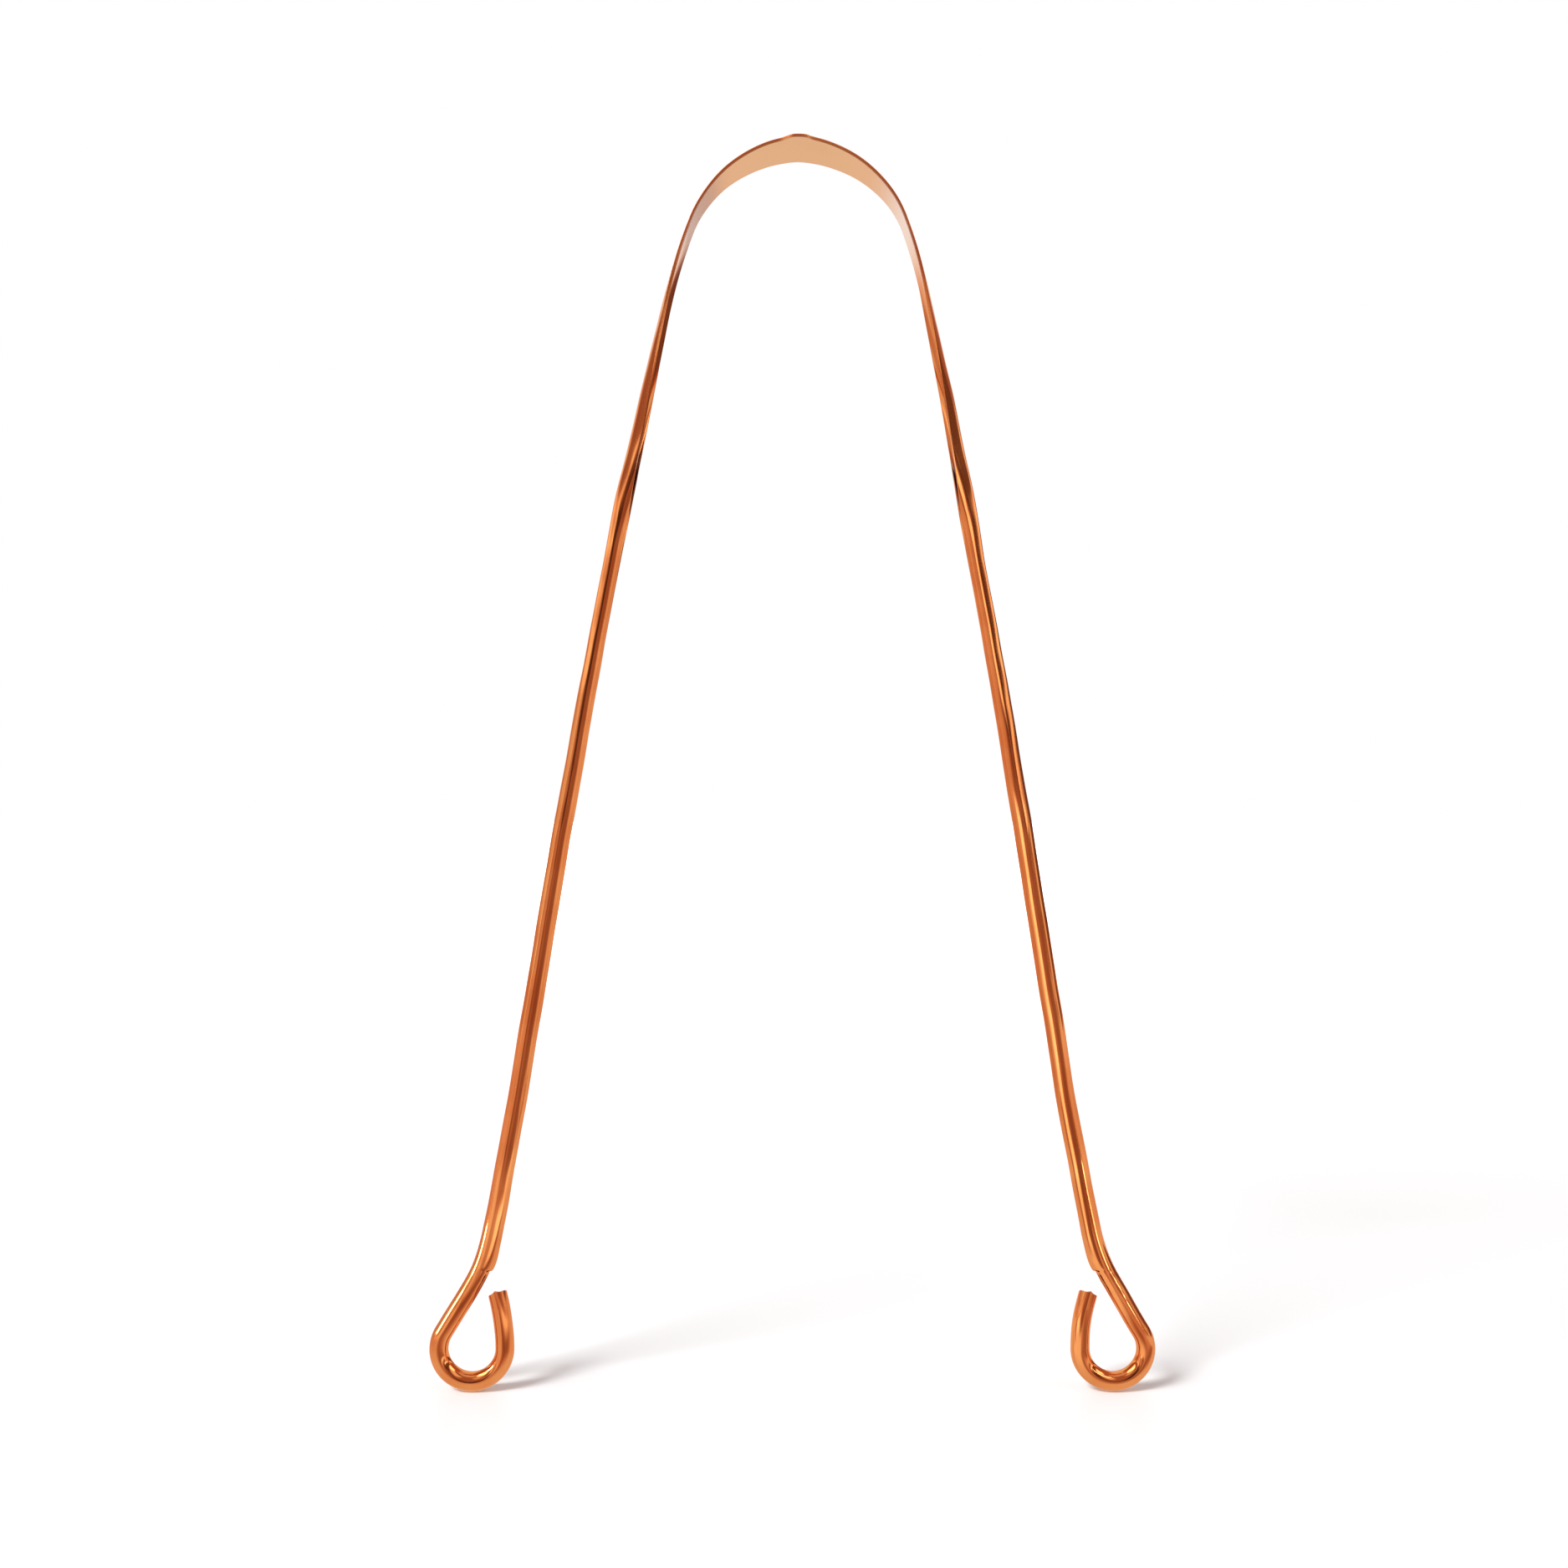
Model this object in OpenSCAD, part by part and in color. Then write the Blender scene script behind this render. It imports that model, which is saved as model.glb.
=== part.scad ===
// Tongue scraper bent from one strip of sheet copper. It stands on its two loops, with the scraping
// blade at the top of the bow. X runs across, Y from front to back and Z up. The origin is on the
// ground, midway between the loops.
// One strip makes the whole tool. It is flat in the bow, curls up in the shoulders, and is rolled
// into a thin tube with a seam on its inner side in the arms and loops. Each node is one formed
// stretch of it. The bow flexes at two thin lines, where the shoulders leave the blade.

/* [Overall] */
// Height of the scraper standing on its loops
overall_h = 150; // [130:1:170]

/* [Strip] */
// Thickness of the copper strip
strip_t = 0.4; // [0.3:0.05:0.5]
// Width of the scraping blade at the top of the bow
blade_w = 8; // [6:0.5:10]
// Width of the strip at the foot of the bow
waist_w = 4.7; // [4:0.1:5.5]

/* [Bow] */
// Radius of the bow at the middle of the strip
bow_r = 14; // [12:0.5:16]
// Turn of the bow on each side of its top
bow_angle = 70; // [65:1:74]
// Turn on each side of the top at which the bow flexes
flex_angle = 45; // [35:1:55]
// Width of the thin flexing line
flex_gap = 0.1; // [0.08:0.01:0.15]

/* [Shoulders] */
// Radius of the bend below the bow
shoulder_r = 60; // [40:1:80]
// Lean of the strip below that bend
shoulder_lean = 12.5; // [11.5:0.1:14]
// Length below that bend at which the strip has become a tube
curl_len = 28; // [20:1:40]

/* [Arms] */
// Outer diameter of the rolled strip
tube_d = 2.3; // [2:0.05:2.6]
// Width of the open seam on the inner side
seam_w = 0.16; // [0.1:0.01:0.25]
// Lean of the arms away from upright
arm_lean = 9.95; // [8:0.05:11]
// How far the seam's front edge stands out
lip_h = 0.2; // [0.1:0.05:0.3]
// Lean of the neck at which the seam's raised edge ends
lip_end_lean = 26; // [18:1:28]

/* [Loops] */
// Radius of the loop at the middle of the tube
loop_r = 3.95; // [3.5:0.05:5]
// Lean of the neck above each loop
neck_lean = 31; // [29:1:35]
// Radius of the bend between the arm and the neck
neck_r = 17; // [12:1:25]
// Length of the straight neck
neck_len = 7.6; // [6:0.1:9]
// Radius of the loop's opened end
end_r = 25; // [18:1:35]
// Turn of the loop's opened end
end_angle = 15; // [8:1:18]

/* [Hidden] */
$fn = 96;
copper = [0.78, 0.42, 0.24];
half_turn = 180;

// Steps along and across the bent surfaces
bow_steps = 7;
shoulder_steps = 3;
curl_steps = 15;
neck_steps = 3;
fall_steps = 13;
rise_steps = 9;
end_steps = 3;
strip_steps = 12;
// Curl of the flat strip and how slowly it sets in, how sharply the seam's front edge turns out, and the
// turn in which it ends
flat_curl = 0.5;
curl_delay = 2;
lip_sharpness = 12;
lip_end_turn = 0.5;

// A lean is the angle from straight down towards the outside, and 90 at the top of the bow.
// The path runs along the middle of the strip or tube on the right side, as points [x, z].
function outward(lean) = [cos(lean), sin(lean)];
function onward(lean) = [sin(lean), -cos(lean)];
function radians(angle) = angle * PI / half_turn;

// The strip rolled up
roll_r = (tube_d - strip_t) / 2;
seam_angle = seam_w / roll_r / PI * half_turn;
roll_angle = 2 * half_turn - seam_angle;
rolled_w = roll_r * radians(roll_angle);

// The bow
bow_centre = [0, overall_h - strip_t / 2 - bow_r];
bow_end_lean = 90 - bow_angle;
bow_end = bow_centre + bow_r * outward(bow_end_lean);
flex_half = flex_gap / 2 / bow_r / PI * half_turn;
// Radius of the blade's long edges, seen from above
edge_sag = (blade_w - waist_w) / 2;
edge_r = (pow(bow_end[0], 2) + pow(edge_sag, 2)) / (2 * edge_sag);
function blade_w_at(x) = blade_w - 2 * (edge_r - sqrt(pow(edge_r, 2) - pow(x, 2)));

// The shoulder's two arcs
shoulder_centre = bow_end - shoulder_r * outward(bow_end_lean);
shoulder_end = shoulder_centre + shoulder_r * outward(shoulder_lean);
shoulder_len = shoulder_r * radians(bow_end_lean - shoulder_lean);
curl_r = curl_len / radians(shoulder_lean - arm_lean);
curl_centre = shoulder_end - curl_r * outward(shoulder_lean);
curl_end = curl_centre + curl_r * outward(arm_lean);

// The loop stands on the ground, and the arm's length makes up the height.
loop_z = loop_r + tube_d / 2;
neck_end_z = loop_z + loop_r * sin(neck_lean);
neck_drop = neck_r * (sin(neck_lean) - sin(arm_lean)) + neck_len * cos(neck_lean);
arm_len = (curl_end[1] - neck_drop - neck_end_z) / cos(arm_lean);
arm_end = curl_end + arm_len * onward(arm_lean);
neck_centre = arm_end + neck_r * outward(arm_lean);
neck_start = neck_centre - neck_r * outward(neck_lean);
neck_end = neck_start + neck_len * onward(neck_lean);
loop_centre = neck_end - loop_r * outward(neck_lean);
end_centre = [loop_centre[0] - loop_r + end_r, loop_centre[1]];

// One cross-section of the strip, as points [outward, back], curled about its length by an angle.
// The share runs across the strip from its front edge, and the lip is how far that edge stands out.
function strip_point(width, curl, lip, share, side) =
  let (
    r = width / radians(curl),
    lift = r * (1 - cos(curl / 2)) / 2,
    a = (share - 1 / 2) * curl,
    reach = r + side * strip_t / 2 + lip * pow(1 - share, lip_sharpness)
  )
  [lift - r + reach * cos(a), reach * sin(a)];

function strip_section(width, curl, lip) = [
  for (i = [0:strip_steps]) strip_point(width, curl, lip, i / strip_steps, 1),
  for (i = [strip_steps:-1:0]) strip_point(width, curl, lip, i / strip_steps, -1)
];

// A station is [middle, lean, width, curl, lip].
function arc_station(centre, r, lean, width, curl) = [centre + r * outward(lean), lean, width, curl, 0];
function tube_station(centre, r, lean, lip) = [centre + r * outward(lean), lean, rolled_w, roll_angle, lip];

function between(a, b, share) = a + (b - a) * share;

// A station of the strip as it curls up, some way below the foot of the bow
function curling_station(centre, r, lean, way) =
  let (share = way / (shoulder_len + curl_len))
  arc_station(
    centre,
    r,
    lean,
    between(waist_w, rolled_w, share),
    between(flat_curl, roll_angle, pow(share, curl_delay))
  );

shoulder_stations = [
  for (i = [0:bow_steps])
    let (lean = between(90 - flex_angle - flex_half, bow_end_lean, i / bow_steps))
    arc_station(bow_centre, bow_r, lean, blade_w_at(bow_r * cos(lean)), flat_curl),
  for (i = [1:shoulder_steps])
    let (share = i / shoulder_steps)
    curling_station(
      shoulder_centre,
      shoulder_r,
      between(bow_end_lean, shoulder_lean, share),
      share * shoulder_len
    ),
  for (i = [1:curl_steps])
    let (share = i / curl_steps)
    curling_station(
      curl_centre,
      curl_r,
      between(shoulder_lean, arm_lean, share),
      shoulder_len + share * curl_len
    )
];

// The neck bends outwards, so its centre lies on the outer side.
loop_stations = [
  for (i = [0:neck_steps])
    tube_station(neck_centre, -neck_r, between(arm_lean, lip_end_lean, i / neck_steps), lip_h),
  for (i = [0:1])
    tube_station(neck_centre, -neck_r, between(lip_end_lean + lip_end_turn, neck_lean, i), 0),
  for (i = [0:fall_steps])
    tube_station(loop_centre, loop_r, between(neck_lean, -90, i / fall_steps), 0),
  for (i = [1:rise_steps])
    tube_station(loop_centre, loop_r, between(-90, -half_turn, i / rise_steps), 0),
  for (i = [1:end_steps])
    tube_station(end_centre, end_r, between(-half_turn, -half_turn - end_angle, i / end_steps), 0)
];

function placed_section(station) = [
  for (p = strip_section(station[2], station[3], station[4]))
    let (at = station[0] + p[0] * outward(station[1]))
    [at[0], p[1], at[1]]
];

// A skin through equal rings of points, closed by a ladder of faces across each end
module ring_skin(rings) {
  size = len(rings[0]);
  last = (len(rings) - 1) * size;
  sides = [
    for (i = [0:len(rings) - 2], j = [0:size - 1])
      let (
        a = i * size + j,
        b = i * size + (j + 1) % size
      )
      each [[a, b, b + size], [a, b + size, a + size]]
  ];
  ends = [
    for (j = [0:size / 2 - 2])
      let (
        a = j,
        b = j + 1,
        c = size - 2 - j,
        d = size - 1 - j
      )
      each [
        [c, b, a],
        [d, c, a],
        [last + a, last + b, last + c],
        [last + a, last + c, last + d]
      ]
  ];
  polyhedron(points = [for (ring = rings) each ring], faces = concat(sides, ends));
}

// Cross-section of the rolled strip, with its seam on the inner side and the seam's front edge
// standing out
module tube_section() {
  difference() {
    circle(d = tube_d);
    circle(d = tube_d - 2 * strip_t);
    translate([-tube_d, -seam_w / 2]) square([tube_d, seam_w]);
  }
  translate([-tube_d / 2 - lip_h, -seam_w / 2 - strip_t]) square([strip_t + lip_h, strip_t]);
}

module scraping_blade() {
  turn = flex_angle - flex_half;
  color(copper) intersection() {
    translate([0, 0, bow_centre[1]]) rotate([90, 0, 0]) rotate([0, 0, 90 - turn])
      rotate_extrude(angle = 2 * turn) translate([bow_r, 0])
        square([strip_t, blade_w], center = true);
    translate([0, edge_r - blade_w / 2, bow_centre[1]]) cylinder(r = edge_r, h = 2 * bow_r);
    translate([0, blade_w / 2 - edge_r, bow_centre[1]]) cylinder(r = edge_r, h = 2 * bow_r);
  }
}

module shoulder() {
  color(copper) ring_skin([for (station = shoulder_stations) placed_section(station)]);
}

module arm() {
  color(copper) translate([arm_end[0], 0, arm_end[1]]) rotate([0, -arm_lean, 0])
    linear_extrude(arm_len) tube_section();
}

module finger_loop() {
  color(copper) ring_skin([for (station = loop_stations) placed_section(station)]);
}

module left() {
  mirror([1, 0, 0]) children();
}

scraping_blade();
left() shoulder();  // left_shoulder
shoulder();  // right_shoulder
left() arm();  // left_arm
arm();  // right_arm
left() finger_loop();  // left_finger_loop
finger_loop();  // right_finger_loop
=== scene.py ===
"""Looks of the copper tongue scraper: one bent strip in two halves, its copper, and a pale studio."""
import math
import random

import bpy
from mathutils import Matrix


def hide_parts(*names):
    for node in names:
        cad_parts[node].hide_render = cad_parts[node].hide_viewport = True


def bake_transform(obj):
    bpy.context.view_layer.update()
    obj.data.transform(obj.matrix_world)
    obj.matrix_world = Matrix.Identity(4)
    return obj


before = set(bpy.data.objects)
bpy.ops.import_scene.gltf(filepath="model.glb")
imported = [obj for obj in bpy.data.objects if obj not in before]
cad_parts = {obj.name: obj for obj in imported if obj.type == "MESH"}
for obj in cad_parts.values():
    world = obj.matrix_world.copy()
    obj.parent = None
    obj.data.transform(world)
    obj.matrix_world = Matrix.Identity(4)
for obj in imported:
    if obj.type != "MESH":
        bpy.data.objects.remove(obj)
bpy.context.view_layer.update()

# Shape of the strip as in the CAD source, in millimetres and degrees. A lean is the angle from straight
# down towards the outside, and 90 at the top of the bow.
MM = 0.001
OVERALL_H = 150.0
STRIP_T = 0.4
BLADE_W = 8.0
WAIST_W = 4.7
BOW_R = 14.0
BOW_END_LEAN = 20.0
SHOULDER_R = 60.0
SHOULDER_LEAN = 12.5
CURL_LEN = 28.0
TUBE_D = 2.3
ARM_LEAN = 9.95
NECK_LEAN = 31.0
NECK_R = 17.0
NECK_LEN = 7.6
LOOP_R = 3.95
END_R = 25.0
END_ANGLE = 16.6
LIP_END_LEAN = 26.0

# Finer shape that the photo shows. Heights are above the ground, and ways run along the strip.
# Height against how far both sides stand to the right, and how far each side stands outwards
SWAY = [(10, 0.0), (20, -0.08), (50, -0.1), (65, 0.0), (87, 0.15), (107, 0.3), (118, 0.48), (128, 0.52),
        (138, 0.6), (150, 0.6)]
OUTWARDS = {
    -1: [(8, 0.0), (13, 0.0), (18, 0.18), (22, 0.06), (28, 0.0), (36, -0.05), (45, 0.03), (60, 0.2),
         (75, 0.31), (90, 0.3), (105, 0.14), (118, 0.0), (128, -0.05), (138, -0.2), (144, -0.22),
         (149.5, 0.0)],
    1: [(7, 0.0), (12, 0.14), (17, 0.24), (22, 0.15), (30, 0.04), (36, 0.0), (45, 0.12), (60, 0.3),
        (75, 0.38), (90, 0.32), (105, 0.14), (118, 0.0)],
}
# Height against the tube's outer diameter, way below the bow's foot against the strip's curl in degrees,
# and the way over which the strip widens there
TUBE_AT = [(66, 2.3), (78, 2.2), (92, 2.08), (104, 2.0)]
CURL_AT = [(0, 0.5), (3.5, 12), (7.7, 34), (13.8, 69), (18, 92), (22, 122), (28, 158), (33, 225),
           (37, 290), (41, 335), (46, 346)]
WIDEN_WAY = 40.0
# Way from the top of the bow against how far the strip lies inside the CAD's round bow, and against how
# far its front edge lies back, so that a small bump is left on the crown
BOW_IN_AT = {
    -1: [(0, 0.03), (2, 0.12), (5, 0.22), (9, 0.3), (13, 0.27), (17, 0.16), (22, 0.04), (26, 0.0)],
    1: [(0, 0.03), (2, 0.09), (5, 0.18), (9, 0.24), (13, 0.24), (17, 0.16), (22, 0.04), (26, 0.0)],
}
FRONT_BACK_AT = {
    -1: [(0, 0.0), (0.7, 0.05), (1.9, 0.6), (3, 0.68), (8, 0.72), (13, 0.55), (18, 0.25), (24, 0.0)],
    1: [(0, 0.0), (1.1, 0.03), (1.6, 0.35), (3, 0.52), (8, 0.55), (13, 0.42), (18, 0.15), (24, 0.0)],
}
# Way past the start of the neck's bend against the width of the open seam
SEAM_AT = [(4, 0.2), (9, 0.1), (16, 0.04)]
# Way before the step in the seam against how far its front edge stands out
LIP_AT = [(-85, 0.0), (-55, 0.05), (-20, 0.1), (-8, 0.14), (-3.5, 0.22), (-1.5, 0.36), (-0.5, 0.34),
          (-0.12, 0.22), (0, 0.05)]
LIP_SHARPNESS = 14.0
# Way past the step against the share of the strip's width that is cut off its front edge
CUT_AT = [(0.05, 0.03), (0.8, 0.085), (2.0, 0.12), (3.2, 0.105), (4.6, 0.05), (6.5, 0.0)]
# Angle round the tube against how far the cut at the loop's end lies short of its highest point, and the
# way over which that sets in. The cut has a notch in front, and a low crease runs down from it: its angle
# and softness, its depth, and the ways from the end where it starts and where it is full.
END_CUT_AT = [(-180, 0.78), (-170, 0.6), (-140, 0.34), (-120, 0.24), (-101, 0.14), (-97, 0.0),
              (-63, 0.18), (-35, 0.28), (-8, 0.36), (20, 0.75), (50, 1.1), (90, 1.25), (130, 1.2),
              (160, 1.05), (180, 0.82)]
END_CUT_WAY = 3.0
CREASE_ANGLE = -98.0
CREASE_SOFT = 3.0
CREASE_DEPTH = 0.07
CREASE_WAY = 9.0
CREASE_FULL_WAY = 1.0
# How far the strip's rounded edges stand out, and their profile: level from the middle, and share of that
EDGE_BULGE = 0.035
EDGE_PROFILE = [(0.96, 0.5), (0.88, 0.86), (0.76, 0.98), (0.0, 1.0)]
FLAT_CURL = math.radians(0.5)
# Curl, in radians, from which the strip counts as rolled up and at which it fully does
ROLLED_CURL = (1.2, 3.4)

# Points of one face of the strip, how far they crowd towards its edges, and where they stand beside the
# crease, as shares of the strip's width
FACE_STEPS = 28
CROWDING = 0.6
CREASE_SHARES = (-0.006, 0.006, 0.03)
EDGE_STEPS = 2 * len(EDGE_PROFILE)
# Distance between the rings in each stretch, the first ring beside the middle of the bow, and the rings
# beside the step in the seam with the room that they keep free
RING_STEPS = {"bow": 0.25, "shoulder": 0.4, "curl": 0.4, "arm": 0.6, "neck_bend": 0.3, "neck": 0.3,
              "loop": 0.17, "end": 0.25}
FIRST_RING = 0.03
LIP_RINGS = (-0.5, -0.3, -0.18, -0.1, -0.04, 0.0, 0.05, 0.12)
LIP_RING_ROOM = 0.1
# Angle between two faces from which their edge stays sharp
SHARP_ANGLE = 38


def outward(lean):
    return math.cos(math.radians(lean)), math.sin(math.radians(lean))


def onward(lean):
    return math.sin(math.radians(lean)), -math.cos(math.radians(lean))


def moved(point, direction, by):
    return point[0] + direction[0] * by, point[1] + direction[1] * by


def arc_length(radius, angle):
    return radius * math.radians(angle)


def make_stretches():
    """The path along the middle of the strip on the right: name, start, lean there, length and radius.
    The radius is negative where the centre lies on the outer side, and None where the path is straight."""
    top = (0.0, OVERALL_H - STRIP_T / 2)
    bow_end = moved(moved(top, (0, -1), BOW_R), outward(BOW_END_LEAN), BOW_R)
    curl_r = CURL_LEN / math.radians(SHOULDER_LEAN - ARM_LEAN)
    shoulder_centre = moved(bow_end, outward(BOW_END_LEAN), -SHOULDER_R)
    shoulder_len = arc_length(SHOULDER_R, BOW_END_LEAN - SHOULDER_LEAN)
    shoulder_end = moved(shoulder_centre, outward(SHOULDER_LEAN), SHOULDER_R)
    curl_centre = moved(shoulder_end, outward(SHOULDER_LEAN), -curl_r)
    curl_end = moved(curl_centre, outward(ARM_LEAN), curl_r)
    neck_end_z = LOOP_R + TUBE_D / 2 + LOOP_R * outward(NECK_LEAN)[1]
    neck_drop = NECK_R * (outward(NECK_LEAN)[1] - outward(ARM_LEAN)[1]) + NECK_LEN * outward(NECK_LEAN)[0]
    arm_len = (curl_end[1] - neck_drop - neck_end_z) / outward(ARM_LEAN)[0]
    arm_end = moved(curl_end, onward(ARM_LEAN), arm_len)
    neck_start = moved(moved(arm_end, outward(ARM_LEAN), NECK_R), outward(NECK_LEAN), -NECK_R)
    neck_end = moved(neck_start, onward(NECK_LEAN), NECK_LEN)
    loop_end = moved(moved(neck_end, outward(NECK_LEAN), -LOOP_R), outward(-180), LOOP_R)
    return [
        ("bow", top, 90.0, arc_length(BOW_R, 90 - BOW_END_LEAN), BOW_R),
        ("shoulder", bow_end, BOW_END_LEAN, shoulder_len, SHOULDER_R),
        ("curl", shoulder_end, SHOULDER_LEAN, CURL_LEN, curl_r),
        ("arm", curl_end, ARM_LEAN, arm_len, None),
        ("neck_bend", arm_end, ARM_LEAN, arc_length(NECK_R, NECK_LEAN - ARM_LEAN), -NECK_R),
        ("neck", neck_start, NECK_LEAN, NECK_LEN, None),
        ("loop", neck_end, NECK_LEAN, arc_length(LOOP_R, 180 + NECK_LEAN), LOOP_R),
        ("end", loop_end, -180.0, arc_length(END_R, END_ANGLE), END_R),
    ]


STRETCHES = make_stretches()
START_OF = {}
PATH_LEN = 0.0
for stretch in STRETCHES:
    START_OF[stretch[0]] = PATH_LEN
    PATH_LEN += stretch[3]
LIP_END = START_OF["neck_bend"] + arc_length(NECK_R, LIP_END_LEAN - ARM_LEAN)


def path(way):
    """Middle of the strip at a way from the top of the bow: across, up and lean."""
    for name, start, lean, length, radius in STRETCHES:
        along = way - START_OF[name]
        if along <= length or name == "end":
            break
    if radius is None:
        return (*moved(start, onward(lean), along), lean)
    turned = lean - math.degrees(along / radius)
    centre = moved(start, outward(lean), -radius)
    return (*moved(centre, outward(turned), radius), turned)


def smooth(a, b, value):
    t = min(1.0, max(0.0, (value - a) / (b - a)))
    return t * t * (3 - 2 * t)


def through(knots, value):
    """A smooth curve through knots of (value, result) in rising order, level beyond both ends."""
    if value <= knots[0][0]:
        return knots[0][1]
    if value >= knots[-1][0]:
        return knots[-1][1]
    i = max(k for k in range(len(knots) - 1) if knots[k][0] <= value)

    def slope(k):
        if k in (0, len(knots) - 1):
            return 0.0
        return (knots[k + 1][1] - knots[k - 1][1]) / (knots[k + 1][0] - knots[k - 1][0])

    (x0, y0), (x1, y1) = knots[i], knots[i + 1]
    h = x1 - x0
    t = (value - x0) / h
    rise = (1 + 2 * t) * (1 - t) ** 2 * y0 + t * t * (3 - 2 * t) * y1
    return rise + h * t * (1 - t) * ((1 - t) * slope(i) - t * slope(i + 1))


def plan_width(across):
    """Width of the flat strip, whose long edges are arcs seen from above."""
    half = BOW_R * outward(BOW_END_LEAN)[0]
    sag = (BLADE_W - WAIST_W) / 2
    edge_r = (half ** 2 + sag ** 2) / (2 * sag)
    return BLADE_W - 2 * (edge_r - math.sqrt(edge_r ** 2 - across ** 2))


def form(side, way):
    """Width of the strip, its curl in radians, how far its lip stands out, and the share cut off."""
    across, up, _ = path(way)
    below = way - START_OF["shoulder"]
    if below <= 0:
        width = plan_width(across)
        return width, FLAT_CURL, 0.0, through(FRONT_BACK_AT[side], way) / width
    tube_r = (through(TUBE_AT, up) - STRIP_T) / 2
    full = 2 * math.pi - through(SEAM_AT, way - START_OF["neck_bend"]) / tube_r
    curl = full if below >= CURL_AT[-1][0] else min(full, math.radians(through(CURL_AT, below)))
    width = WAIST_W + (tube_r * full - WAIST_W) * smooth(0, WIDEN_WAY, below)
    past = way - LIP_END
    lip = through(LIP_AT, past) if past <= 0 else 0.0
    cut = through(CUT_AT, past) if past > 0 else through(FRONT_BACK_AT[side], way) / width
    return width, curl, lip, cut


class Waves:
    """Gentle unevenness of hand-bent, hand-polished sheet: a few long waves, the same on each run."""

    def __init__(self, seed, size, lengths):
        dice = random.Random(seed)
        self.terms = [
            (size / math.sqrt(len(lengths)), 2 * math.pi / length, dice.choice((-2, -1, 0, 1, 2)),
             dice.uniform(0, 2 * math.pi))
            for length in lengths
        ]

    def at(self, way, angle):
        return sum(size * math.sin(k * way + turns * angle + phase)
                   for size, k, turns, phase in self.terms)


# Seed, size and lengths of the waves, in millimetres, of the strip's skin and of its path
SKIN_WAVES = Waves(11, 0.013, (5.9, 8.3, 12.7, 19.0, 31.0))
PATH_WAVES = Waves(5, 0.03, (13.0, 21.0, 34.0))


def face_shares():
    """Shares of the strip's width for the points of a face, closer together at edges and crease."""
    half = [i / (FACE_STEPS / 2 - 1) for i in range(FACE_STEPS // 2)]
    up = [0.5 * (CROWDING * math.sin(math.pi / 2 * h) + (1 - CROWDING) * h) for h in half]
    shares = [0.5 - u for u in reversed(up)] + [0.5 + u for u in up[1:]]
    crease = 0.5 + CREASE_ANGLE / 360
    near = min(range(len(shares)), key=lambda k: abs(shares[k] - crease))
    shares[near] = crease + CREASE_SHARES[0]
    return sorted(shares + [crease + at for at in CREASE_SHARES[1:]])


SHARES = face_shares()


def section_points():
    """Where the points of a section lie on the strip: share of its width, side of its middle and bulge."""
    edge = EDGE_PROFILE + [(-level, bulge) for level, bulge in reversed(EDGE_PROFILE[:-1])]
    points = [(share, 1.0, 0.0) for share in SHARES]
    points += [(1.0, level, bulge) for level, bulge in edge]
    points += [(share, -1.0, 0.0) for share in reversed(SHARES)]
    points += [(0.0, -level, -bulge) for level, bulge in edge]
    return points


SECTION = section_points()


def skin_point(side, way, share, level, bulge):
    """One point of a half's surface, and its place on the strip: round, along and how rolled up it is."""
    width, curl, lip, cut = form(side, way)
    r = width / curl
    lift = r * (1 - math.cos(curl / 2)) / 2
    share = cut + (1 - cut) * share
    angle = (share - 0.5) * curl + bulge * EDGE_BULGE / r
    crease = smooth(CREASE_ANGLE + CREASE_SOFT, CREASE_ANGLE - CREASE_SOFT, math.degrees(angle))
    crease *= CREASE_DEPTH * smooth(PATH_LEN - CREASE_WAY, PATH_LEN - CREASE_FULL_WAY, way)
    if way > PATH_LEN - END_CUT_WAY:
        short = through(END_CUT_AT, math.degrees(angle))
        way -= short * smooth(PATH_LEN - END_CUT_WAY, PATH_LEN, way)
    across, up, lean = path(way)
    reach = r + level * STRIP_T / 2 + lip * (1 - share) ** LIP_SHARPNESS
    reach += SKIN_WAVES.at(side * way, angle) - crease
    out = lift - r + reach * math.cos(angle) + PATH_WAVES.at(side * way, 0) - through(BOW_IN_AT[side], way)
    back = reach * math.sin(angle)
    o = outward(lean)
    x = side * (across + out * o[0] + through(OUTWARDS[side], up)) + through(SWAY, up)
    return (x * MM, back * MM, (up + out * o[1]) * MM), (r * angle, side * way, smooth(*ROLLED_CURL, curl))


def ways_of_rings():
    ways = [0.0, FIRST_RING]
    for name, _, _, length, _ in STRETCHES:
        count = max(2, round(length / RING_STEPS[name]))
        ways += [START_OF[name] + length * i / count for i in range(1, count + 1)]
    step = [LIP_END + at for at in LIP_RINGS]
    ways = [w for w in ways if not step[0] - LIP_RING_ROOM < w < step[-1] + LIP_RING_ROOM]
    return sorted(ways + step)


def linked_object(name, data):
    piece = bpy.data.objects.new(name, data)
    bpy.context.scene.collection.objects.link(piece)
    return piece


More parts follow.
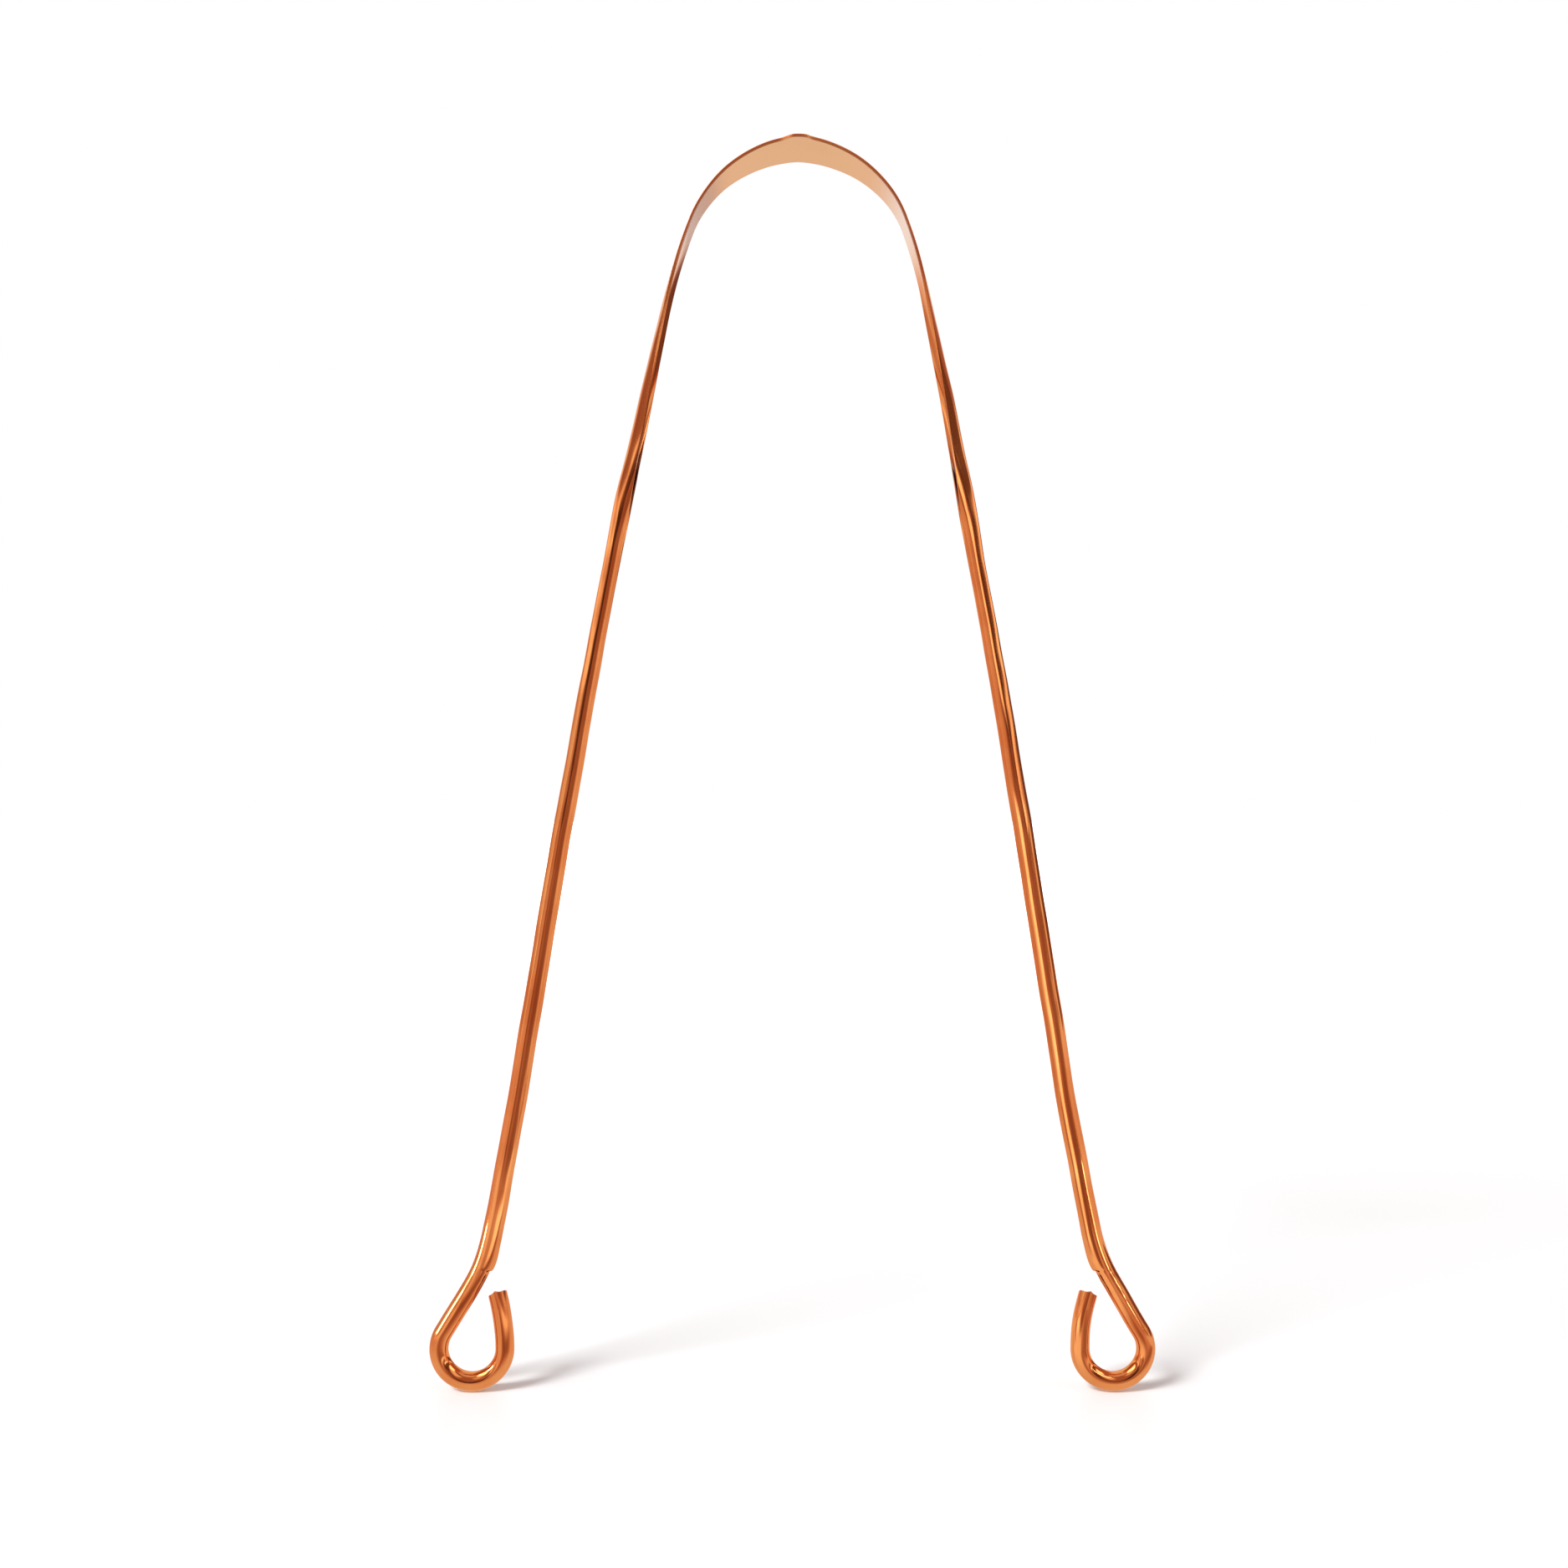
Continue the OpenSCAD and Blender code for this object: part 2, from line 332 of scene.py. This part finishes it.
def make_half(name, side):
    """One half of the strip, from the top of the bow to the cut end of its loop, as a closed skin."""
    rings = [[skin_point(side, way, *at) for at in SECTION] for way in ways_of_rings()]
    size = len(SECTION)
    verts = [p for ring in rings for p, _ in ring]
    faces = []
    for i in range(len(rings) - 1):
        for j in range(size):
            k = (j + 1) % size
            quad = [i * size + j, i * size + k, (i + 1) * size + k, (i + 1) * size + j]
            faces.append(quad if side > 0 else quad[::-1])
    last = (len(rings) - 1) * size
    half_edge = EDGE_STEPS // 2
    across = range(1 - half_edge, FACE_STEPS + half_edge)
    ladder = [(j, (2 * FACE_STEPS + EDGE_STEPS - j) % size) for j in across]
    for (a, d), (b, c) in zip(ladder, ladder[1:]):
        cap = [v % size for v in (a, d, c, b)]
        cap = [v for n, v in enumerate(cap) if v not in cap[:n]]
        end = [last + v for v in reversed(cap)]
        faces += [cap, end] if side > 0 else [cap[::-1], end[::-1]]
    mesh = bpy.data.meshes.new(name)
    mesh.from_pydata(verts, [], faces)
    strip = mesh.attributes.new("strip", "FLOAT_VECTOR", "POINT")
    strip.data.foreach_set("vector", [v for ring in rings for _, c in ring for v in c])
    edge = mesh.attributes.new("edge", "FLOAT", "POINT")
    edge.data.foreach_set("value", [abs(at[2]) for _ in rings for at in SECTION])
    inner = mesh.attributes.new("inner", "FLOAT", "POINT")
    inner.data.foreach_set("value", [max(0.0, -at[1]) for _ in rings for at in SECTION])
    mesh.validate()
    mesh.update()
    mesh.shade_smooth()
    mesh.set_sharp_from_angle(angle=math.radians(SHARP_ANGLE))
    return linked_object(name, mesh)


# Node helpers
def node_of(tree, kind, **values):
    node = tree.nodes.new(kind)
    for key, value in values.items():
        setattr(node, key, value)
    return node


def calc(tree, operation, a, b=None, clamp=False):
    node = node_of(tree, "ShaderNodeMath", operation=operation, use_clamp=clamp)
    for socket, value in zip(node.inputs, (a, b)):
        if value is None:
            continue
        if isinstance(value, (int, float)):
            socket.default_value = value
        else:
            tree.links.new(value, socket)
    return node.outputs[0]


def plus(tree, a, b):
    return calc(tree, "ADD", a, b)


def minus(tree, a, b):
    return calc(tree, "SUBTRACT", a, b)


def times(tree, a, b):
    return calc(tree, "MULTIPLY", a, b)


def mixed(tree, level, to, share):
    return plus(tree, level, times(tree, minus(tree, to, level), share))


def ramp_between(tree, value, low, high, to_low=0.0, to_high=1.0):
    node = node_of(tree, "ShaderNodeMapRange", interpolation_type="SMOOTHSTEP")
    tree.links.new(value, node.inputs["Value"])
    node.inputs["From Min"].default_value = low
    node.inputs["From Max"].default_value = high
    node.inputs["To Min"].default_value = to_low
    node.inputs["To Max"].default_value = to_high
    return node.outputs["Result"]


def window(tree, value, low, high, soft):
    """1 between low and high, and 0 outside them, with soft borders."""
    rise = ramp_between(tree, value, low - soft, low + soft)
    fall = ramp_between(tree, value, high - soft, high + soft, 1.0, 0.0)
    return times(tree, rise, fall)


def noise(tree, vector, scale, detail=2.0, roughness=0.5):
    node = node_of(tree, "ShaderNodeTexNoise")
    node.inputs["Scale"].default_value = scale
    node.inputs["Detail"].default_value = detail
    node.inputs["Roughness"].default_value = roughness
    tree.links.new(vector, node.inputs["Vector"])
    return node.outputs["Fac"]


def stretched(tree, vector, scale):
    node = node_of(tree, "ShaderNodeMapping")
    node.inputs["Scale"].default_value = scale
    tree.links.new(vector, node.inputs["Vector"])
    return node.outputs["Vector"]


def parts_of(tree, vector):
    """The X, Y and Z of a vector."""
    node = node_of(tree, "ShaderNodeSeparateXYZ")
    tree.links.new(vector, node.inputs[0])
    return node.outputs["X"], node.outputs["Y"], node.outputs["Z"]


def attribute(tree, name, output="Fac"):
    return node_of(tree, "ShaderNodeAttribute", attribute_name=name).outputs[output]


def coordinates(tree, kind):
    return node_of(tree, "ShaderNodeTexCoord").outputs[kind]


def colour_mix(tree, share, a, b):
    node = node_of(tree, "ShaderNodeMix", data_type="RGBA")
    for socket, value in ((node.inputs["A"], a), (node.inputs["B"], b)):
        if isinstance(value, tuple):
            socket.default_value = (*value, 1.0)
        else:
            tree.links.new(value, socket)
    tree.links.new(share, node.inputs["Factor"])
    return node.outputs["Result"]


def direction_of(tree, across, ahead):
    """The direction of a place or a ray in degrees, from straight ahead of the scraper."""
    return times(tree, calc(tree, "ARCTAN2", across, ahead), math.degrees(1))


def ray_kinds(tree):
    """What kind of ray meets the surface, and 1 for what metal and glass see."""
    rays = node_of(tree, "ShaderNodeLightPath").outputs
    return rays, calc(tree, "MAXIMUM", rays["Is Glossy Ray"], rays["Is Transmission Ray"])


def new_material(name):
    material = bpy.data.materials.new(name)
    material.use_nodes = True
    return material, material.node_tree


# Colours of the copper: clean, under a soft stain and along a polishing streak, then of the satin inner
# face at the crown, paler than clean copper as a painted reflection of the pale studio, and paler still
# down the flanks as a painted sheen, then a painted shade inside the rolled strip, and the tint of what
# the copper mirrors at a grazing angle
CLEAN = (0.84, 0.315, 0.1)
STAINED = (0.76, 0.25, 0.074)
STREAKED = (0.7, 0.2, 0.058)
SATIN_AND_PAINTED_SHEEN = (0.775, 0.465, 0.245)
PAINTED_PALE_SHEEN = (0.93, 0.8, 0.74)
HOLLOW_SHADE = (0.1, 0.055, 0.045)
MIRROR_TINT = (1.0, 0.86, 0.76, 1.0)
# Ways from the crown, in millimetres: where the satin face ends, where it turns pale with painted sheen,
# and where the edges turn from dull to shiny
SATIN_END, PAINTED_SHEEN_FROM, EDGE_SHINE = (17.0, 25.0), (9.0, 18.0), (30.0, 40.0)
# How rolled up the strip is where its inner face turns dark with painted shade
HOLLOW_SHADE_FROM = (0.8, 1.0)
# Roughness of the copper, and what the lines, the stains, the satin face and the edges add to it, the
# edges at the crown and below
ROUGH = 0.075
ROUGH_LINES = 0.06
ROUGH_STAINS = 0.05
ROUGH_SATIN = 0.2
ROUGH_EDGES = (0.22, 0.06)
# Noise of the lines, streaks, stains and specks as scale, detail and roughness. The lines and streaks are
# stretched along the strip, which is laid flat for them.
LAID_FLAT = (1.0, 1.0, 0.0)
LINE_STRETCH, LINES = (9.0, 0.35, 1.0), (1.0, 4.0, 0.6)
STREAK_STRETCH, STREAKS = (2.6, 0.06, 1.0), (1.0, 2.0, 0.5)
STAINS, SPECKS = (160.0, 3.0, 0.55), (1500.0, 2.0, 0.5)
# Noise between which stains and streaks set in, the streaks' strength, and the noise for dull stains
STAIN_FROM, STREAK_FROM, STREAK_SHARES = (0.38, 0.66), (0.5, 0.72), (0.0, 0.6)
DULL_STAIN_FROM = (0.45, 0.75)
# Relief of the lines and specks
LINE_HEIGHT, SPECK_HEIGHT = 0.7, 0.12
BUMP_STRENGTH, BUMP_DISTANCE = 0.25, 0.00001


def make_copper():
    """Polished copper: fine lines from rolling and polishing along the strip, soft stains, a rougher satin
    inner face made paler by painted reflection and sheen, burnished edges, and painted shade on the
    inner face where the strip is rolled up."""
    material, tree = new_material("polished_copper")
    shader = tree.nodes["Principled BSDF"]
    shader.inputs["Metallic"].default_value = 1.0
    shader.inputs["Specular Tint"].default_value = MIRROR_TINT
    strip = attribute(tree, "strip", "Vector")
    inner = attribute(tree, "inner")
    _, way, rolled = parts_of(tree, strip)
    down = calc(tree, "ABSOLUTE", way)
    # Painted shade: the inner face turns dark where the strip is rolled up.
    hollow_shade = times(tree, inner, ramp_between(tree, rolled, *HOLLOW_SHADE_FROM))
    satin_and_sheen = times(tree, inner, ramp_between(tree, down, *SATIN_END, 1.0, 0.0))
    flat = stretched(tree, strip, LAID_FLAT)
    place = coordinates(tree, "Object")
    lines = noise(tree, stretched(tree, flat, LINE_STRETCH), *LINES)
    streaks = noise(tree, stretched(tree, flat, STREAK_STRETCH), *STREAKS)
    stains = noise(tree, place, *STAINS)
    specks = noise(tree, place, *SPECKS)
    tone = colour_mix(tree, ramp_between(tree, stains, *STAIN_FROM), CLEAN, STAINED)
    streaked = ramp_between(tree, streaks, *STREAK_FROM, *STREAK_SHARES)
    tone = colour_mix(tree, streaked, tone, STREAKED)
    # The satin face is rougher, and its paler colour is a painted reflection of the pale studio.
    tone = colour_mix(tree, satin_and_sheen, tone, SATIN_AND_PAINTED_SHEEN)
    # Painted sheen: the satin face turns paler still down the flanks.
    tone = colour_mix(tree, times(tree, satin_and_sheen, ramp_between(tree, down, *PAINTED_SHEEN_FROM)), tone, PAINTED_PALE_SHEEN)
    # Painted shade inside the rolled strip.
    tone = colour_mix(tree, hollow_shade, tone, HOLLOW_SHADE)
    tree.links.new(tone, shader.inputs["Base Color"])
    rough = plus(tree, times(tree, lines, ROUGH_LINES), ROUGH)
    dull_stain = ramp_between(tree, stains, *DULL_STAIN_FROM)
    rough = plus(tree, rough, times(tree, dull_stain, ROUGH_STAINS))
    dull_edge = ramp_between(tree, down, *EDGE_SHINE, *ROUGH_EDGES)
    rough = plus(tree, rough, times(tree, attribute(tree, "edge"), dull_edge))
    rough = plus(tree, rough, times(tree, satin_and_sheen, ROUGH_SATIN))
    tree.links.new(rough, shader.inputs["Roughness"])
    bump = node_of(tree, "ShaderNodeBump")
    bump.inputs["Strength"].default_value = BUMP_STRENGTH
    bump.inputs["Distance"].default_value = BUMP_DISTANCE
    height = plus(tree, times(tree, lines, LINE_HEIGHT), times(tree, specks, SPECK_HEIGHT))
    tree.links.new(height, bump.inputs["Height"])
    tree.links.new(bump.outputs["Normal"], shader.inputs["Normal"])
    return material


copper = make_copper()
SIDES = {"left_side": -1, "right_side": 1}
for body, side in SIDES.items():
    word = body.split("_")[0]
    half = make_half(word + "_half_of_strip", side)
    half.data.materials.append(copper)
    nodes = [word + "_shoulder", word + "_arm", word + "_finger_loop"]
    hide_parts("scraping_blade", *nodes)
    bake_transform(half)


# Warmth of the studio's darker parts: what is darker than white is also redder
WHITE = (1.0, 1.0, 1.0)
DARK_TINT = (1.0, 0.53, 0.45)
WARM_FROM = (0.45, 1.0)


def warmed(tree, level):
    """The colour of a studio surface by its brightness: white if bright, and warm if dark."""
    return colour_mix(tree, ramp_between(tree, level, *WARM_FROM), DARK_TINT, WHITE)


# The pale floor, in metres and degrees. The camera sees it with the scraper's shadow, and more and more
# lifted to white far away. Metal sees it glow by zones of painted light and shade, pale around the
# scraper and dark on the camera's side.
FLOOR_SIZE = 6.0
FLOOR_DROP = 0.00002
FLOOR_BASE = (0.92, 0.965, 0.98)
FLOOR_ROUGHNESS = 0.45
FLOOR_GLOSS = 0.22
LIFT_FROM, LIFT_LEVELS = (0.1, 0.9), (0.02, 1.0)
# The zones that metal sees, each over the ones before. A zone lies between two turns, or two places to the
# right, with a softness. It also sets in between two distances, or ends again where they have a softness
# too. Last comes its brightness. Turns are seen from a point behind the scraper on the left. BESIDE stands
# for a brightness that rises with the distance ahead: the two distances, then the two levels.
TURNS_FROM = (-0.022, 0.03)
OPEN_LEVEL = 0.9
BESIDE = "beside"
BESIDE_LEVELS = (0.01, 0.02, 0.32, 0.62)
ZONES = [
    ("turn", (-150, -30, 10), "away", (0.03, 0.09), 0.68),
    ("turn", (46, 150, 14), "away", (0.03, 0.09), 0.84),
    ("right", (0.036, 0.068, 0.005), "ahead", (0.002, 0.01), BESIDE),
    ("turn", (-27, 46, 8), "ahead", (0.002, 0.018), 0.3),
    ("turn", (-7, 9, 6), "ahead", (0.03, 0.08), 0.5),
    ("right", (0.034, 0.062, 0.005), "ahead", (0.024, 0.08, 0.008), 0.74),
]
# Over the zones lies a streak of light, from between the loops to the front left: its brightness, where it
# starts, its direction, its widening, its soft sides, and its bright near and faint far stretch
GLOW_LEVEL = 1.8
GLOW_FROM = (0.006, -0.028)
GLOW_ALONG = (-0.848, -0.53)
GLOW_WIDENING = 0.035
GLOW_SIDES = (0.12, 0.42)
GLOW_NEAR = (-0.012, 0.03, 0.01)
GLOW_FAR = (0.03, 0.22, 0.02)
GLOW_FAR_SHARE = 0.27
# Over the streak lies a bright spot, in front of the right loop. It is written like a zone.
SPOT = ("right", (0.014, 0.034, 0.004), "ahead", (0.005, 0.026, 0.004), 1.1)


def glow_share(tree, x, y):
    """How strongly the streak of light shows at a place of the floor."""
    x, y = minus(tree, x, GLOW_FROM[0]), minus(tree, y, GLOW_FROM[1])
    along = plus(tree, times(tree, x, GLOW_ALONG[0]), times(tree, y, GLOW_ALONG[1]))
    off = minus(tree, times(tree, x, GLOW_ALONG[1]), times(tree, y, GLOW_ALONG[0]))
    widening = plus(tree, calc(tree, "MAXIMUM", along, 0.0), GLOW_WIDENING)
    spread = calc(tree, "DIVIDE", calc(tree, "ABSOLUTE", off), widening)
    narrow = ramp_between(tree, spread, *GLOW_SIDES, 1.0, 0.0)
    near = window(tree, along, *GLOW_NEAR)
    far = times(tree, window(tree, along, *GLOW_FAR), GLOW_FAR_SHARE)
    return times(tree, narrow, calc(tree, "ADD", near, far, clamp=True))


def zoned(tree, level, measures, zone):
    """Brightness of the floor with one more zone over it."""
    first, between, second, reach, to = zone
    share = window(tree, measures[first], *between)
    edge = window if len(reach) == 3 else ramp_between
    share = times(tree, share, edge(tree, measures[second], *reach))
    if to == BESIDE:
        to = ramp_between(tree, measures["ahead"], *BESIDE_LEVELS)
    return mixed(tree, level, to, share)


def make_floor():
    mesh = bpy.data.meshes.new("floor")
    s = FLOOR_SIZE / 2
    mesh.from_pydata([(-s, -s, 0), (s, -s, 0), (s, s, 0), (-s, s, 0)], [], [(0, 1, 2, 3)])
    floor = linked_object("floor", mesh)
    floor.location = (0, 0, -FLOOR_DROP)
    material, tree = new_material("pale_floor")
    shader = tree.nodes["Principled BSDF"]
    shader.inputs["Roughness"].default_value = FLOOR_ROUGHNESS
    shader.inputs["Specular IOR Level"].default_value = FLOOR_GLOSS
    rays, mirrored = ray_kinds(tree)
    place = coordinates(tree, "Object")
    x, y, _ = parts_of(tree, place)
    length = node_of(tree, "ShaderNodeVectorMath", operation="LENGTH")
    tree.links.new(place, length.inputs[0])
    ahead = times(tree, y, -1.0)
    turn = direction_of(tree, minus(tree, x, TURNS_FROM[0]), plus(tree, ahead, TURNS_FROM[1]))
    measures = {"turn": turn, "right": x, "ahead": ahead, "away": length.outputs["Value"]}
    level = OPEN_LEVEL
    for zone in ZONES:
        level = zoned(tree, level, measures, zone)
    level = mixed(tree, level, GLOW_LEVEL, glow_share(tree, x, y))
    level = zoned(tree, level, measures, SPOT)
    colour = node_of(tree, "ShaderNodeVectorMath", operation="SCALE")
    colour.inputs[0].default_value = FLOOR_BASE
    tree.links.new(minus(tree, 1.0, mirrored), colour.inputs["Scale"])
    tree.links.new(colour.outputs[0], shader.inputs["Base Color"])
    lift = ramp_between(tree, measures["away"], *LIFT_FROM, *LIFT_LEVELS)
    lift = times(tree, rays["Is Camera Ray"], lift)
    tree.links.new(mixed(tree, lift, level, mirrored), shader.inputs["Emission Strength"])
    glow = colour_mix(tree, mirrored, WHITE, warmed(tree, level))
    tree.links.new(glow, shader.inputs["Emission Color"])
    material.cycles.emission_sampling = "NONE"
    mesh.materials.append(material)


make_floor()

# The studio around: white behind, grey walls at both sides with a softbox high on each and thin strips of
# light across, and the dark side with the camera in front. Angles are in degrees, from straight ahead of
# the scraper. Later patches lie over earlier ones. Each has its turn from and to, its rise from and to,
# its softness in turn and rise, its slope and its brightness.
PATCHES = [
    (-136, -34, -90, 17, 10, 2, 0.0, 0.66),
    (-82, -38, -90, 10, 12, 4, 0.0, 0.7),
    (-104, -62, 2.5, 11, 8, 2, 0.0, 0.95),
    (46, 150, -90, 60, 12, 8, 0.0, 0.42),
    (92, 160, -14, 13, 6, 3, 0.0, 0.2),
    (64, 84, -12, 9, 5, 2, 0.0, 1.0),
    (-22, 50, -90, 60, 8, 8, 0.0, 0.12),
    (-40, -24, -8, 3.5, 7, 2, 0.0, 0.75),
    (-30, 30, 15, 60, 8, 4, 0.0, 0.42),
    (-34, 0, 4.0, 12, 6, 2, 0.0, 0.08),
    (4, 44, -2.5, 3.5, 6, 2, 0.0, 0.42),
    (2, 24, 3.5, 10, 5, 2, 0.0, 0.45),
    (38, 112, 8, 24, 7, 2, 0.12, 0.17),
    (40, 100, 9.0, 12.2, 5, 1.2, 0.18, 2.4),
    (-140, -30, 18.0, 62, 10, 2.0, -0.075, 0.38),
    (-128, -42, 12.8, 17.0, 6, 1.2, -0.075, 1.5),
    (-86, -50, 27, 56, 4, 3, 0.0, 4.0),
    (-75, -56, 1.5, 5.0, 3, 1.2, 0.62, 1.6),
    (70, 132, 12.2, 17.0, 6, 1.5, 0.1, 1.7),
    (56, 86, 27, 46, 4, 3, 0.0, 3.0),
    (14, 54, 24, 48, 8, 4, 0.0, 1.1),
    (-50, -20, 26, 48, 8, 4, 0.0, 0.9),
]
# Rises between which the studio dims towards its top, and its brightness there
TOP_FROM, TOP_LEVEL = (45.0, 75.0), 0.8
# Share of the studio's brightness that lights dull surfaces, beside the lamp
SOFT_SHARE = 0.66


def make_studio():
    world = bpy.data.worlds.new("studio")
    bpy.context.scene.world = world
    world.use_nodes = True
    tree = world.node_tree
    background = tree.nodes["Background"]
    x, y, z = parts_of(tree, coordinates(tree, "Generated"))
    turn = direction_of(tree, x, times(tree, y, -1.0))
    rise = times(tree, calc(tree, "ARCSINE", z), math.degrees(1))
    level = mixed(tree, 1.0, TOP_LEVEL, ramp_between(tree, rise, *TOP_FROM))
    for left, right, low, high, soft, soft_up, slope, to in PATCHES:
        off_middle = minus(tree, turn, (left + right) / 2)
        tilted = minus(tree, rise, times(tree, off_middle, slope))
        across = window(tree, turn, left, right, soft)
        up = window(tree, tilted, low, high, soft_up)
        level = mixed(tree, level, to, times(tree, across, up))
    rays, mirrored = ray_kinds(tree)
    level = mixed(tree, level, 1.0, rays["Is Camera Ray"])
    tree.links.new(warmed(tree, level), background.inputs["Color"])
    seen = calc(tree, "MAXIMUM", mirrored, rays["Is Camera Ray"])
    share = ramp_between(tree, seen, 0.0, 1.0, SOFT_SHARE, 1.0)
    tree.links.new(times(tree, level, share), background.inputs["Strength"])


make_studio()

# A broad far lamp in front on the left throws the short shadows to the right and back. The copper mirrors
# the studio that is drawn above, so the lamp itself isn't mirrored. Angles are in degrees.
KEY_STRENGTH = 2.64
KEY_BREADTH = 19
KEY_RISE = 42
KEY_TURN = -45


def make_key():
    data = bpy.data.lights.new("key", "SUN")
    data.energy = KEY_STRENGTH
    data.angle = math.radians(KEY_BREADTH)
    key = linked_object("key", data)
    key.visible_glossy = False
    key.rotation_euler = (math.radians(90 - KEY_RISE), 0, math.radians(KEY_TURN))


make_key()

# Bright cards stand close to the copper, for the long highlights on both necks and the right arm. Only the
# copper sees them, and only from nearer than their reach. Each has the middle of its lower and of its
# upper edge, the step from there to its side, its brightness and its reach. Lengths are in millimetres.
CARDS = {
    "left_neck_card": ((-62, -7.75, 9), (-62, -7.75, 18), (0, 3.6, 0), 20.0, 45),
    "lower_arm_card": ((21.2, -14.3, 12.3), (14.6, -17.4, 70.4), (6.4, -3.8, 0), 2.3, 25),
    "upper_arm_card": ((24.6, -19.9, 80.7), (17.1, -19.5, 122.4), (6.5, 0, 0), 2.1, 25),
    "right_neck_card": ((58.5, -18.7, 8), (47, -17, 26), (1.2, 1.2, 0), 7.0, 32),
}
# Where a card is bright, as shares of its width and height with a softness, how softly its light ends at
# its reach, and its fine unevenness: scale, the noise between which it shows, and depth
CARD_ACROSS, CARD_UP = (0.16, 0.84, 0.15), (0.04, 0.96, 0.04)
REACH_SOFT = 0.1
MOTTLE_SCALE, MOTTLE_FROM, MOTTLE_DEPTH = 300.0, (0.3, 0.7), 0.15


def make_card(name, low, high, aside, level, reach):
    def corner(middle, sign):
        return [(m + sign * a) * MM for m, a in zip(middle, aside)]

    mesh = bpy.data.meshes.new(name)
    corners = [corner(low, -1), corner(low, 1), corner(high, 1), corner(high, -1)]
    mesh.from_pydata(corners, [], [(0, 1, 2, 3)])
    mesh.uv_layers.new(name="card").data.foreach_set("uv", [0, 0, 1, 0, 1, 1, 0, 1])
    card = linked_object(name, mesh)
    material, tree = new_material(name)
    tree.nodes.remove(tree.nodes["Principled BSDF"])
    mottle = noise(tree, coordinates(tree, "Object"), MOTTLE_SCALE)
    mottle = ramp_between(tree, mottle, *MOTTLE_FROM, level * (1 - MOTTLE_DEPTH), level)
    shine = node_of(tree, "ShaderNodeEmission")
    tree.links.new(mottle, shine.inputs["Strength"])
    clear = node_of(tree, "ShaderNodeBsdfTransparent")
    u, v, _ = parts_of(tree, coordinates(tree, "UV"))
    inside = times(tree, window(tree, u, *CARD_ACROSS), window(tree, v, *CARD_UP))
    rays, _ = ray_kinds(tree)
    ends = [reach * (1 - REACH_SOFT) * MM, reach * (1 + REACH_SOFT) * MM]
    near = ramp_between(tree, rays["Ray Length"], *ends, 1.0, 0.0)
    mix = node_of(tree, "ShaderNodeMixShader")
    tree.links.new(times(tree, inside, near), mix.inputs[0])
    tree.links.new(clear.outputs[0], mix.inputs[1])
    tree.links.new(shine.outputs[0], mix.inputs[2])
    tree.links.new(mix.outputs[0], tree.nodes["Material Output"].inputs["Surface"])
    material.cycles.emission_sampling = "NONE"
    mesh.materials.append(material)
    card.visible_camera = False
    card.visible_diffuse = False
    card.visible_shadow = False


for name, values in CARDS.items():
    make_card(name, *values)

# Camera as in the photo: level, 20 cm in front of the scraper and half way up, in millimetres. Its focal
# length is counted in the photo's pixels.
FOCAL_PIXELS = 1984.0
PHOTO_PIXELS = 1875.0
SENSOR = 36.0
CAMERA_AT = (-1.008, -200, 73.13)
CLIP_START = 0.01
camera_data = bpy.data.cameras.new("camera")
camera_data.sensor_width = SENSOR
camera_data.lens = FOCAL_PIXELS / PHOTO_PIXELS * SENSOR
camera_data.clip_start = CLIP_START
camera = linked_object("camera", camera_data)
camera.location = [at * MM for at in CAMERA_AT]
camera.rotation_euler = (math.radians(90), 0, 0)
bpy.context.scene.camera = camera
bpy.context.scene.view_settings.view_transform = "Standard"

bpy.context.view_layer.update()
